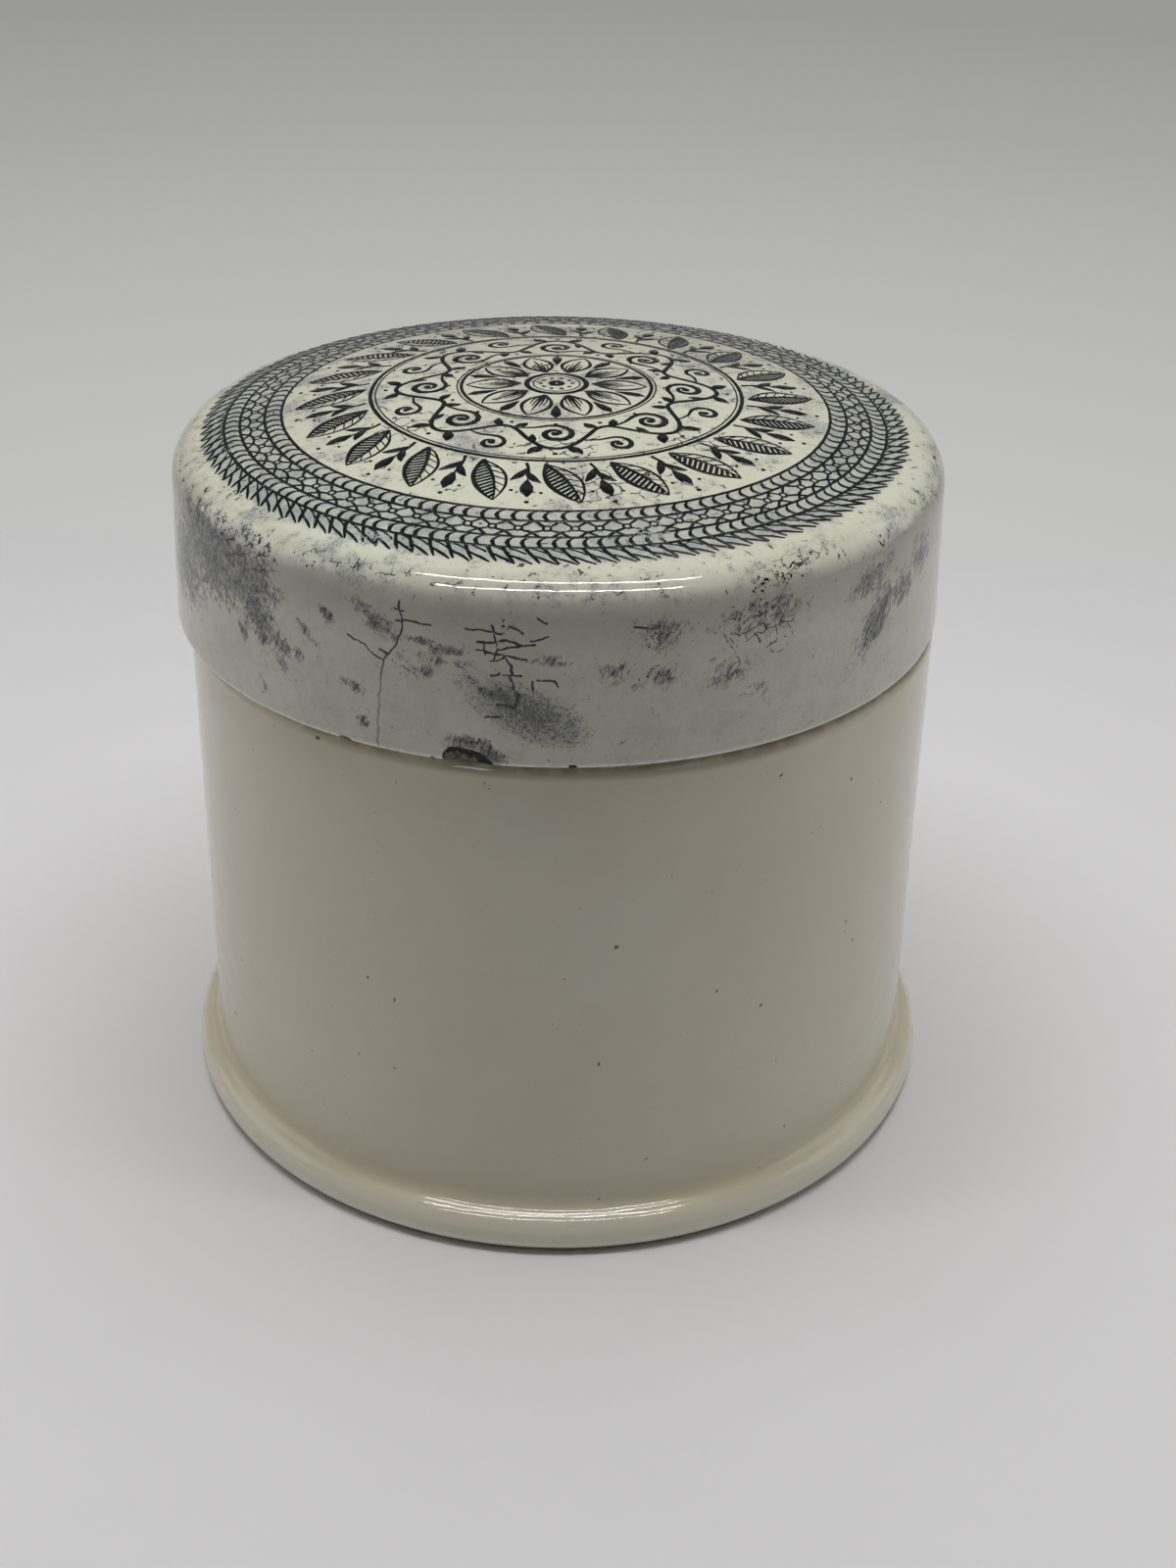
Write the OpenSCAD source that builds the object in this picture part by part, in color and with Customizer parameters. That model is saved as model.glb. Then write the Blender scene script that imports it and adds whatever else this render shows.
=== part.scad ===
// Cold cream pot: a glazed earthenware jar with a deep cap that lifts off.
// The origin is the middle of the foot's underside, +Z is up and the front faces -Y.
// All lengths are in millimetres.

/* [Pot] */
// Outer diameter of the wall at the shoulder
pot_d = 71.3; // [56:0.1:90]
// Height of the shoulder
shoulder_h = 50.3; // [40:0.1:70]
// How much wider the wall's radius is at the foot than at the shoulder
wall_draft = 0.3; // [0:0.05:1]
// Rounding of the shoulder's outer edge
shoulder_round = 0.9; // [0.3:0.1:1.2]
// Thickness of the floor
floor_t = 5; // [3:0.5:9]
// Fillet between the floor and the inside wall
floor_fillet = 6; // [1:0.5:12]

/* [Foot] */
// How far the foot bead stands out from the wall
bead_out = 2.15; // [1.9:0.05:4]
// Height of the foot bead
bead_h = 4; // [3.5:0.1:6]
// Rounding of the bead's edges
bead_round = 1.7; // [0.4:0.05:1.7]
// Radius of the cove that joins the bead to the wall
cove = 1.5; // [0.4:0.1:3]
// Width of the foot ring, from the bead's outside to the recess under the pot
foot_ring_w = 5; // [4:0.5:9]
// Depth of the recess under the pot
recess_h = 1.2; // [0.5:0.1:2]

/* [Neck] */
// Height of the neck above the shoulder
neck_h = 14.5; // [6:0.1:20]
// Thickness of the neck's wall
neck_t = 2.7; // [2.1:0.1:4]
// Rounding of the neck's lip, which the lid's inner corner follows
lip_round = 1; // [0.2:0.1:1]

/* [Lid] */
// How far the lid's rim stands out beyond the pot's shoulder
rim_overhang = 0.6; // [0:0.05:1.5]
// Thickness of the skirt at the rim
skirt_t = 3.5; // [2.5:0.1:5]
// How far the skirt leans in towards the top, in degrees
skirt_lean = 2; // [0:0.1:4]
// Radius of the crown's dome
crown_r = 142; // [90:1:400]
// Thickness of the crown
crown_t = 3.5; // [2.5:0.1:5]
// Rounding between the crown and the skirt
lid_round = 3.3; // [1:0.1:5]
// How far the flat seat in the ceiling reaches in past the neck's lip
seat_in = 1; // [0.8:0.1:4]
// Rounding of the rim's edges
rim_round = 0.4; // [0.1:0.1:0.8]

/* [Fit] */
// Gap between the neck and the skirt, all round when the lid is centred
skirt_clear = 0.9; // [0.7:0.1:2]
// Gap between the lid's rim and the shoulder, as the lid sits on the neck's lip
seam_gap = 0.6; // [0.2:0.1:2]
// How far the loose lid sits off the pot's axis, along X
lid_shift = -0.5; // [-0.6:0.1:0.6]

/* [Hidden] */
$fn = 180;
// Radii, from the outside in
wall_top_r = pot_d / 2;
wall_foot_r = wall_top_r + wall_draft;
foot_r = wall_foot_r + bead_out;
rim_r = wall_top_r + rim_overhang;
skirt_in_r = rim_r - skirt_t;
neck_r = skirt_in_r - skirt_clear;
bore_r = neck_r - neck_t;
recess_r = foot_r - foot_ring_w;
seat_r = bore_r - seat_in;
// The cove touches the wall and the bead's upper round, or the bead's flat top if it is wide
cove_dx = max(0, cove + bead_round - bead_out);
cove_dz = sqrt(pow(cove + bead_round, 2) - cove_dx * cove_dx);
cove_at = [wall_foot_r + cove, bead_h - bead_round + cove_dz];
// Heights, from the table up
floor_top = recess_h + floor_t;
neck_top = shoulder_h + neck_h;
rim_z = shoulder_h + seam_gap;
// The ceiling's dome rises from the seat's inner edge and shares its centre with the crown
ceiling_r = crown_r - crown_t;
dome_z = neck_top - sqrt(pow(ceiling_r, 2) - pow(seat_r, 2));
lid_top = dome_z + crown_r;
// The lid's outer rounding touches the dome and the leaning skirt
lean = tan(skirt_lean);
round_x0 = rim_r - lid_round / cos(skirt_lean) + rim_z * lean;
round_b = round_x0 * lean + dome_z;
round_c = pow(round_x0, 2) + pow(dome_z, 2) - pow(crown_r - lid_round, 2);
round_z = (round_b + sqrt(pow(round_b, 2) - (1 + lean * lean) * round_c)) / (1 + lean * lean);
round_at = [round_x0 - lean * round_z, round_z];
skirt_top = round_at + lid_round * [cos(skirt_lean), sin(skirt_lean)];
// A cut runs past the surface that it opens by this much
past = 1;

// Half section of a block against the axis, with its two outer corners rounded
module round_block(w, h, r) {
    square([w - r, h]);
    translate([0, r]) square([w, h - 2 * r]);
    for (z = [r, h - r]) translate([w - r, z]) circle(r);
}

// What is left of a square's corner once a round has filled the rest of it
module corner(r, toward = [1, 1]) {
    mirror([toward.x < 0 ? 1 : 0, 0]) mirror([0, toward.y < 0 ? 1 : 0])
        difference() {
            square(r);
            translate([r, r]) circle(r);
        }
}

// Half section under a dome, out to this radius
module dome(r, edge_r) {
    intersection() {
        translate([0, dome_z]) circle(r);
        translate([0, rim_z]) square([edge_r, lid_top - rim_z + past]);
    }
}

module wall_section() {
    polygon([[0, bead_round], [wall_foot_r, cove_at.y], [wall_top_r, shoulder_h - shoulder_round],
             [wall_top_r - shoulder_round, shoulder_h], [0, shoulder_h]]);
    translate([wall_top_r - shoulder_round, shoulder_h - shoulder_round]) circle(shoulder_round);
}

module foot_section() {
    round_block(foot_r, bead_h, bead_round);
    difference() {
        polygon([[0, bead_h - bead_round], [cove_at.x - cove_dx, bead_h - bead_round],
                 cove_at, [0, cove_at.y]]);
        translate(cove_at) circle(cove);
    }
}

module neck_section() {
    translate([0, floor_top]) round_block(neck_r, neck_top - floor_top, lip_round);
}

module inside_section() {
    difference() {
        translate([0, floor_top]) square([bore_r, neck_top - floor_top + past]);
        translate([bore_r, floor_top]) corner(floor_fillet, [-1, 1]);
    }
    translate([bore_r, neck_top]) corner(lip_round, [1, -1]);
    translate([0, neck_top]) square([bore_r + lip_round, past]);
}

module recess_section() {
    translate([0, -past]) square([recess_r, past]);
    difference() {
        square([recess_r, recess_h]);
        translate([recess_r, recess_h]) corner(recess_h / 2, [-1, -1]);
    }
}

// The outside of the lid: crown, rounded shoulder and leaning skirt
module crown_section() {
    dome(crown_r, crown_r * round_at.x / (crown_r - lid_round));
    translate(round_at) circle(lid_round);
    polygon([[0, rim_z], [rim_r - rim_round, rim_z], [rim_r, rim_z + rim_round],
             skirt_top, [0, skirt_top.y]]);
    translate([rim_r - rim_round, rim_z + rim_round]) circle(rim_round);
}

// The inside of the lid: skirt, flat seat and domed ceiling
module cap_section() {
    difference() {
        translate([0, rim_z - past]) square([skirt_in_r, neck_top - rim_z + past]);
        translate([skirt_in_r, neck_top]) corner(lip_round, [-1, -1]);
    }
    dome(ceiling_r, seat_r);
    translate([skirt_in_r, rim_z]) corner(rim_round);
    translate([0, rim_z - past]) square([skirt_in_r + rim_round, past]);
}

// The jar: foot bead, wall, shoulder and neck in one piece
module pot() {
    color([0.86, 0.84, 0.77]) rotate_extrude() difference() {
        union() {
            foot_section();
            wall_section();
            neck_section();
        }
        inside_section();
        recess_section();
    }
}

// The cap, which goes over the neck and sits on its lip
module lid() {
    color([0.83, 0.85, 0.80]) translate([lid_shift, 0, 0]) rotate_extrude() difference() {
        crown_section();
        cap_section();
    }
}

pot();
lid();
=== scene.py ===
import math
import random
import bmesh
import bpy
import numpy
from mathutils import Matrix, Vector, noise


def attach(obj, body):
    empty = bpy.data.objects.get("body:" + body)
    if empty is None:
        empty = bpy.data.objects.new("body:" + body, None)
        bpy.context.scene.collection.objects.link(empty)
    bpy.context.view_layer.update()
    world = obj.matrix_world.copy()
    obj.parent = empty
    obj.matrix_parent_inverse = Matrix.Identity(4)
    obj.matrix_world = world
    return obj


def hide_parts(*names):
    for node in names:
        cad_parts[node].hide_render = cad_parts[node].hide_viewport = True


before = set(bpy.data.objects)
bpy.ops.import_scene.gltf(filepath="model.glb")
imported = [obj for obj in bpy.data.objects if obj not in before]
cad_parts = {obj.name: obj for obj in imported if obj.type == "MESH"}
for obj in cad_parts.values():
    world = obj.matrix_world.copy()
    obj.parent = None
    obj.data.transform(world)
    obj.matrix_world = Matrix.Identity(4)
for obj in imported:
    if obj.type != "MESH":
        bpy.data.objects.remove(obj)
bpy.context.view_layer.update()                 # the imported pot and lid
mm = 0.001
scene = bpy.context.scene


# A wire is one node output, and arithmetic on wires adds Math nodes
class Wire:
    def __init__(self, kit, socket):
        self.kit, self.socket = kit, socket

    def other(self, name):
        return Wire(self.kit, self.socket.node.outputs[name])

    def __add__(self, value):
        return self.kit.math("ADD", self, value)

    def __sub__(self, value):
        return self.kit.math("SUBTRACT", self, value)

    def __rsub__(self, value):
        return self.kit.math("SUBTRACT", value, self)

    def __mul__(self, value):
        return self.kit.math("MULTIPLY", self, value)

    def __truediv__(self, value):
        return self.kit.math("DIVIDE", self, value)

    def __neg__(self):
        return self.kit.math("MULTIPLY", self, -1.0)


class NodeKit:
    def __init__(self, tree):
        self.tree = tree

    # kind of node, the values or wires of its sockets, then its settings
    def node(self, kind, sockets=None, settings=None, out=0):
        made = self.tree.nodes.new(kind)
        for name, value in (settings or {}).items():
            if name == "stops":
                ramp = made.color_ramp
                while len(ramp.elements) < len(value):
                    ramp.elements.new(1.0)
                for element, (at, colour) in zip(ramp.elements, value):
                    element.position, element.color = at, colour
            else:
                setattr(made, name, value)
        for name, value in (sockets or {}).items():
            if isinstance(value, Wire):
                self.tree.links.new(value.socket, made.inputs[name])
            else:
                made.inputs[name].default_value = value
        return Wire(self, made.outputs[out]) if made.outputs else None

    def math(self, operation, *values):
        return self.node("ShaderNodeMath", dict(enumerate(values)), {"operation": operation})

    def least(self, a, b):
        return self.math("MINIMUM", a, b)

    def most(self, a, b):
        return self.math("MAXIMUM", a, b)

    # 0 below low, 1 above high, eased between
    def rise(self, value, low, high):
        return self.node("ShaderNodeMapRange", {"Value": value, "From Min": low, "From Max": high},
                         {"interpolation_type": "SMOOTHSTEP"})

    # rises from low to full, stays, and falls again from ebb to end
    def band(self, value, low, full, ebb, end):
        return self.rise(value, low, full) * (1 - self.rise(value, ebb, end))

    def point(self, x, y, z=0.0):
        return self.node("ShaderNodeCombineXYZ", {"X": x, "Y": y, "Z": z})

    def parts(self, at):
        x = self.node("ShaderNodeSeparateXYZ", {"Vector": at})
        return x, x.other("Y"), x.other("Z")

    def vector(self, operation, a, b=(0, 0, 0)):
        return self.node("ShaderNodeVectorMath", {0: a, 1: b}, {"operation": operation})

    def length(self, a):
        return self.node("ShaderNodeVectorMath", {0: a}, {"operation": "LENGTH"}, "Value")

    def noise(self, at, scale, detail=2.0, rough=0.5, out="Fac"):
        return self.node("ShaderNodeTexNoise", {
            "Vector": at, "Scale": scale, "Detail": detail, "Roughness": rough}, out=out)

    # noise made into patches: 0 where it is under low, 1 where it is over high
    def patches(self, at, scale, low, high, detail=2.0, rough=0.5):
        return self.rise(self.noise(at, scale, detail, rough), low, high)

    def blend(self, factor, a, b, kind="MIX"):
        return self.node("ShaderNodeMix", {0: factor, 6: a, 7: b},
                         {"data_type": "RGBA", "blend_type": kind}, 2)

    def bump(self, height, strength, depth):
        return self.node("ShaderNodeBump",
                         {"Height": height, "Strength": strength, "Distance": depth})


def rgb(red, green, blue):
    return (red, green, blue, 1.0)


def newObject(name, data):
    made = bpy.data.objects.new(name, data)
    scene.collection.objects.link(made)
    return made


# A geometry tree's inputs are given by kind of socket, as lists of names
def newTree(name, inputs):
    tree = bpy.data.node_groups.new(name, "GeometryNodeTree")
    for kind, labels in {"Geometry": ["Geometry"], **inputs}.items():
        for label in labels:
            tree.interface.new_socket(label, in_out="INPUT", socket_type="NodeSocket" + kind)
    tree.interface.new_socket("Geometry", in_out="OUTPUT", socket_type="NodeSocketGeometry")
    kit = NodeKit(tree)
    return kit, kit.node("NodeGroupInput")


def sealTree(kit, geometry, material):
    done = kit.node("GeometryNodeSetMaterial", {"Geometry": geometry, "Material": material})
    kit.node("NodeGroupOutput", {"Geometry": done})
    return kit.tree


# What a modifier makes of a piece, as a plain mesh; the modifier goes
def plainMesh(piece, modifier):
    graph = bpy.context.evaluated_depsgraph_get()
    mesh = bpy.data.meshes.new_from_object(piece.evaluated_get(graph))
    piece.modifiers.remove(modifier)
    return mesh


def growMesh(name, base, tree, values):
    carrier = newObject(name + "_base", base)
    modifier = carrier.modifiers.new(tree.name, "NODES")
    modifier.node_group = tree
    for item in tree.interface.items_tree:
        if item.in_out == "INPUT" and item.name in values:
            modifier[item.identifier] = values[item.name]
    mesh = plainMesh(carrier, modifier)
    bpy.data.objects.remove(carrier)
    bpy.data.meshes.remove(base)
    mesh.name = name
    # the carrier's own empty slot comes out
    used = mesh.materials[-1]
    mesh.materials.clear()
    mesh.materials.append(used)
    mesh.polygons.foreach_set("material_index", [0] * len(mesh.polygons))
    return mesh


# A stroke is its points, its width at each point, and True at the end if it is closed
def strokeMesh(name, strokes):
    points, edges, widths = [], [], []
    for path, wide, *closed in strokes:
        first, last = len(points), len(points) + len(path) - 1
        points += [(x * mm, y * mm, 0.0) for x, y in path]
        widths += [w * mm for w in wide]
        edges += [(i, i + 1) for i in range(first, last)]
        if closed:
            edges.append((last, first))
    mesh = bpy.data.meshes.new(name)
    mesh.from_pydata(points, edges, [])
    mesh.attributes.new("wide", "FLOAT", "POINT").data.foreach_set("value", widths)
    return mesh


def turned(x, y, degrees):
    c, s = math.cos(math.radians(degrees)), math.sin(math.radians(degrees))
    return x * c - y * s, x * s + y * c


# Camera, at the photograph's height, tilt and slight lean; its angles are in radians
cameraView = {
    "place": (0.0, -0.18597, 0.1353),
    "yaw": 0.01478, "pitch": 0.51982, "roll": 0.01878,
    "lens": 48.24, "sensor": 36.0, "near": 0.01, "far": 20.0,
}


def makeCamera(v):
    data = bpy.data.cameras.new("photo_camera")
    data.lens, data.sensor_width, data.sensor_fit = v["lens"], v["sensor"], "AUTO"
    data.clip_start, data.clip_end = v["near"], v["far"]
    scene.camera = newObject("photo_camera", data)
    scene.camera.matrix_world = (
        Matrix.Translation(v["place"]) @ Matrix.Rotation(-v["yaw"], 4, "Z")
        @ Matrix.Rotation(math.pi / 2 - v["pitch"], 4, "X") @ Matrix.Rotation(v["roll"], 4, "Z"))


makeCamera(cameraView)
print("camera placed")


# Materials in millimetres, on the piece's own coordinates
def newGlaze(name):
    material = bpy.data.materials.new(name)
    material.use_nodes = True
    kit = NodeKit(material.node_tree)
    return material, kit, material.node_tree.nodes["Principled BSDF"]


def inMillimetres(kit, shift=(0, 0, 0)):
    return kit.node("ShaderNodeMapping", {
        "Vector": kit.node("ShaderNodeTexCoord", out="Object"),
        "Location": shift, "Scale": (1000,) * 3})


def plug(shader, name, wire):
    wire.kit.tree.links.new(wire.socket, shader.inputs[name])


# Soft studio light: two broad panels above, two narrow strips that the rounded edge mirrors,
# and weak fill from the front and the sides
lampTint = (1.0, 0.985, 0.985)
studioLights = [
    # name, place, aim, turn in degrees, width, depth, watts, lights surfaces, mirrored
    ("panel", (0.0, 0.03, 0.4), (0.0, 0.03, 0.0), 0, 0.4, 0.16, 0.405, True, False),
    ("panel_behind", (0.0, 0.22, 0.4), (0.0, 0.1, 0.0), 0, 0.46, 0.16, 0.425, True, False),
    ("strip_above", (0.0, -0.052, 0.3), (0.0, -0.052, 0.0), -3, 0.232, 0.008, 0.272, True, True),
    ("strip_front", (0.0, -0.165, 0.3), (0.0, -0.035, 0.066), 0, 0.29, 0.006, 0.41, False, True),
    ("fill_front", (0.0, -0.3, 0.36), (0.0, 0.0, 0.03), 0, 0.4, 0.16, 0.02, True, False),
    ("side_left", (-0.3, 0.03, 0.17), (0.0, 0.0, 0.04), 0, 0.26, 0.22, 0.172, True, True),
    ("side_right", (0.3, 0.03, 0.17), (0.0, 0.0, 0.04), 0, 0.26, 0.22, 0.172, True, True),
]


def makeLights(lights):
    for name, place, aim, spin, wide, deep, watts, lighting, mirrored in lights:
        data = bpy.data.lights.new(name, "AREA")
        data.shape, data.size, data.size_y, data.energy = "RECTANGLE", wide, deep, watts
        data.color = lampTint
        lamp = newObject(name, data)
        towards = (Vector(aim) - Vector(place)).to_track_quat("-Z", "Y").to_matrix().to_4x4()
        lamp.matrix_world = (Matrix.Translation(place) @ towards
                             @ Matrix.Rotation(math.radians(spin), 4, "Z"))
        lamp.visible_camera = False
        lamp.visible_diffuse, lamp.visible_glossy = lighting, mirrored


makeLights(studioLights)
print("lamps lit:", len(studioLights))

studio = {
    # half the floor's width in metres, then where the paper sheet ends, in millimetres
    "half": 2.2, "sheetEdge": 126.0, "sheetSlant": -0.045, "fade": 4.0,
    "sheetEnd": (260.0, 420.0),
    "sheet": rgb(0.83, 0.83, 0.84), "roughness": 0.62, "specular": 0.25,
    # the room's strength: on surfaces, as the camera sees it, as the glaze mirrors it
    "fill": 0.029, "sky": 0.325, "mirrored": 0.1,
    # painted light: the glow of the backdrop, dimming with distance from the pot, as a share of its
    # reach
    "reach": 700.0, "backdropGlow": [(0.18, 0.56), (0.35, 0.492), (0.62, 0.385), (0.88, 0.325)],
}


def makeFloor(f):
    half = f["half"]
    mesh = bpy.data.meshes.new("studio_floor")
    mesh.from_pydata([(-half, -half, 0), (half, -half, 0), (half, half, 0), (-half, half, 0)],
                     [], [(0, 1, 2, 3)])
    floor = newObject("studio_floor", mesh)
    material, kit, shader = newGlaze("paper_floor")
    at = inMillimetres(kit)
    x, y = kit.parts(at)[:2]
    edge = y - x * f["sheetSlant"] + kit.noise(at, 0.01) * 4.0 - 2.0
    away = kit.length(at)
    mottle = kit.noise(at, 0.05, 4.0) * 0.03 + 0.985
    plug(shader, "Base Color", kit.blend(1.0, f["sheet"], kit.point(mottle, mottle, mottle),
                                         "MULTIPLY"))
    shader.inputs["Roughness"].default_value = f["roughness"]
    shader.inputs["Specular IOR Level"].default_value = f["specular"]
    # beyond the sheet the floor glows as a painted backdrop that dims with distance; the camera and
    # the glaze's reflections see it, the light does not
    tone = kit.node("ShaderNodeValToRGB", {"Fac": away / f["reach"]},
                    {"stops": [(at, rgb(v, v, v * 0.99)) for at, v in f["backdropGlow"]]})
    glow = kit.node("ShaderNodeEmission", {"Color": tone})
    beyond = kit.most(kit.rise(edge, f["sheetEdge"] - f["fade"], f["sheetEdge"] + f["fade"]),
                      kit.rise(away, *f["sheetEnd"]))
    rays = kit.node("ShaderNodeLightPath", out="Is Camera Ray")
    seen = kit.most(rays, rays.other("Is Glossy Ray"))
    both = kit.node("ShaderNodeMixShader",
                    {0: beyond * seen, 1: Wire(kit, shader.outputs[0]), 2: glow})
    plug(kit.tree.nodes["Material Output"], "Surface", both)
    mesh.materials.append(material)


def makeRoom(f):
    world = bpy.data.worlds.new("studio_world")
    world.use_nodes = True
    scene.world = world
    kit = NodeKit(world.node_tree)
    fill, sky, mirrored = [
        kit.node("ShaderNodeBackground", {"Color": rgb(1.0, 1.0, 1.0), "Strength": f[name]})
        for name in ("fill", "sky", "mirrored")]
    # the glaze mirrors a darker room than the eye sees, which keeps the print black
    rays = kit.node("ShaderNodeLightPath", out="Is Camera Ray")
    unseen = kit.node("ShaderNodeMixShader",
                      {0: rays.other("Is Glossy Ray"), 1: fill, 2: mirrored})
    both = kit.node("ShaderNodeMixShader", {0: rays, 1: unseen, 2: sky})
    plug(kit.tree.nodes["World Output"], "Surface", both)


makeFloor(studio)
makeRoom(studio)
print("studio ready")


# Drawing in millimetres: a section's points lie out from the axis and up from the table
def arc(centre, radius, start, end, steps, grow=0.0):
    # a spiral if its radius grows on the way
    points = []
    for i in range(steps + 1):
        x, y = turned(radius + grow * i / steps, 0.0, start + (end - start) * i / steps)
        points.append((centre[0] + x, centre[1] + y))
    return points


def between(a, b, shares):
    return [(a[0] + (b[0] - a[0]) * t, a[1] + (b[1] - a[1]) * t) for t in shares]


def cutLong(points, step, guard=0.12):
    # long straight stretches get rows close to their ends, so that rounds keep their shading
    made = [points[0]]
    for a, b in zip(points, points[1:]):
        span = math.dist(a, b)
        if span > step:
            count = max(1, math.ceil((span - 2 * guard) / step))
            made += between(a, b, [(guard + (span - 2 * guard) * i / count) / span
                                   for i in range(count + 1)])
        if span > 1e-6:
            made.append(b)
    return made


# One tree turns a section round the upright axis, with the faint unevenness of thrown ware
def makeLatheTree():
    kit, given = newTree("lathe", {"Int": ["Segments"], "Float": ["Uneven", "Axis X", "Seed"],
                                   "Material": ["Glaze"]})
    segments = given.other("Segments")
    rows = kit.node("GeometryNodeAttributeDomainSize", {"Geometry": given}, out="Point Count")
    around = segments + 1
    grid = kit.node("GeometryNodeMeshGrid", {"Vertices X": rows, "Vertices Y": around})
    index = kit.node("GeometryNodeInputIndex")
    row = kit.math("FLOOR", (index + 0.5) / around)
    angle = (index - row * around) / segments * math.tau
    drawn = kit.node("GeometryNodeSampleIndex", {
        "Geometry": given, "Value": kit.node("GeometryNodeInputPosition"), "Index": row},
        {"data_type": "FLOAT_VECTOR"})
    radius, height = kit.parts(drawn)[:2]
    sine, cosine = kit.math("SINE", angle), kit.math("COSINE", angle)
    # the unevenness changes slowly round the ware and up it, and fades near the axis
    at = kit.point(sine * 1.3 + given.other("Seed"), cosine * 1.3, height * 28.0)
    uneven = kit.noise(at, 1.1) * given.other("Uneven")
    wide = radius - uneven * kit.least(radius / (10 * mm), 1.0)
    place = kit.point(wide * sine + given.other("Axis X"), -wide * cosine, height)
    turnedGrid = kit.node("GeometryNodeSetPosition", {"Geometry": grid, "Position": place})
    closed = kit.node("GeometryNodeMergeByDistance",
                      {"Geometry": turnedGrid, "Distance": 1e-6})
    smooth = kit.node("GeometryNodeSetShadeSmooth", {"Geometry": closed})
    return sealTree(kit, smooth, given.other("Glaze"))


def makeOutward(mesh):
    work = bmesh.new()
    work.from_mesh(mesh)
    bmesh.ops.recalc_face_normals(work, faces=work.faces)
    work.to_mesh(mesh)
    work.free()


latheTree = makeLatheTree()


# A section drawing turned into its piece
def turnPiece(name, section, p, glaze):
    drawing = strokeMesh(name + "_section", [(section, [1.0] * len(section))])
    mesh = growMesh(name, drawing, latheTree, {
        "Segments": p["segments"], "Uneven": p["uneven"] * mm, "Axis X": p["axisX"] * mm,
        "Seed": p["seed"], "Glaze": glaze})
    makeOutward(mesh)
    print(name, "turned:", len(mesh.polygons), "faces")
    return newObject(name, mesh)


potSize = {
    "floor": 6.2, "bore": 29.15, "floorFillet": 6.0, "neckTop": 64.8, "neck": 31.85,
    "lipRound": 1.0, "shoulder": 50.3, "wallTop": 35.65, "shoulderRound": 0.9,
    "wallFoot": 35.95, "cove": 1.5, "foot": 38.1, "bead": 4.0, "beadRound": 1.7,
    "recess": 33.1, "recessUp": 1.2, "axisX": 0.0,
    "segments": 480, "step": 2.2, "uneven": 0.07, "seed": 3.0,
}


def potSection(p):
    bore, top, lip, bead = p["bore"], p["neckTop"], p["lipRound"], p["beadRound"]
    foot, low, fillet, cove = p["foot"], p["floor"], p["floorFillet"], p["cove"]
    beadAt = (foot - bead, p["bead"] - bead)
    coveX = p["wallFoot"] + cove
    coveZ = beadAt[1] + math.sqrt((cove + bead) ** 2 - (coveX - beadAt[0]) ** 2)
    meet = math.degrees(math.atan2(coveZ - beadAt[1], coveX - beadAt[0]))
    shoulder = (p["wallTop"] - p["shoulderRound"], p["shoulder"] - p["shoulderRound"])
    half = p["recessUp"] / 2
    points = [(0.0, low)]
    points += arc((bore - fillet, low + fillet), fillet, -90, 0, 10)
    points += arc((bore + lip, top - lip), lip, 180, 90, 6)
    points += arc((p["neck"] - lip, top - lip), lip, 90, 0, 6)
    points += [(p["neck"], p["shoulder"])]
    points += arc(shoulder, p["shoulderRound"], 90, 0, 7)
    points += arc((coveX, coveZ), cove, 180, 180 + meet, 8)
    points += arc(beadAt, bead, meet, 0, 8)[1:]
    points += arc((foot - bead, bead), bead, 0, -90, 9)
    points += [(p["recess"], 0.0)]
    points += arc((p["recess"] - half, half), half, 0, 90, 4)
    points += [(0.0, p["recessUp"])]
    return cutLong(points, p["step"])


lidSize = {
    "axisX": -0.5, "rim": 36.25, "rimZ": 50.9, "skirt": 3.5, "lean": 2.0, "rimRound": 0.4,
    "crown": 142.0, "thick": 3.5, "round": 3.3, "seatZ": 64.8, "seat": 28.15,
    "cornerRound": 1.0, "segments": 520, "step": 1.3, "skirtRows": 24, "uneven": 0.09,
    "seed": 11.0,
}
ceilingRadius = lidSize["crown"] - lidSize["thick"]
domeZ = lidSize["seatZ"] - math.sqrt(ceilingRadius ** 2 - lidSize["seat"] ** 2)


def lidRounding(p):
    # the rounding's centre, where it touches both the dome and the leaning skirt
    lean, big, small = math.tan(math.radians(p["lean"])), p["crown"], p["round"]
    x0 = p["rim"] - small / math.cos(math.radians(p["lean"])) + p["rimZ"] * lean
    b = x0 * lean + domeZ
    c = x0 ** 2 + domeZ ** 2 - (big - small) ** 2
    z = (b + math.sqrt(b * b - (1 + lean ** 2) * c)) / (1 + lean ** 2)
    return x0 - lean * z, z


roundR, roundZ = lidRounding(lidSize)
roundTilt = math.atan2(roundZ - domeZ, roundR)
domeEdge = lidSize["crown"] * math.cos(roundTilt)


def lidSection(p):
    tilt, rows = math.degrees(roundTilt), p["skirtRows"]
    inside, rim, corner = p["rim"] - p["skirt"], p["rimRound"], p["cornerRound"]
    points = arc((0.0, domeZ), p["crown"], 90, tilt, 30)
    points += arc((roundR, roundZ), p["round"], tilt, p["lean"], 16)[1:]
    outerRim = arc((p["rim"] - rim, p["rimZ"] + rim), rim, p["lean"], -90, 6)
    # close rows on the skirt carry the marks that are painted on it
    points += between(points[-1], outerRim[0], [i / rows for i in range(1, rows)])
    points += outerRim
    points += arc((inside + rim, p["rimZ"] + rim), rim, -90, -180, 5)
    points += arc((inside - corner, p["seatZ"] - corner), corner, 0, 90, 6)
    edge = math.degrees(math.acos(p["seat"] / ceilingRadius))
    points += arc((0.0, domeZ), ceilingRadius, edge, 90, 14)
    return cutLong(points, p["step"])


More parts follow.
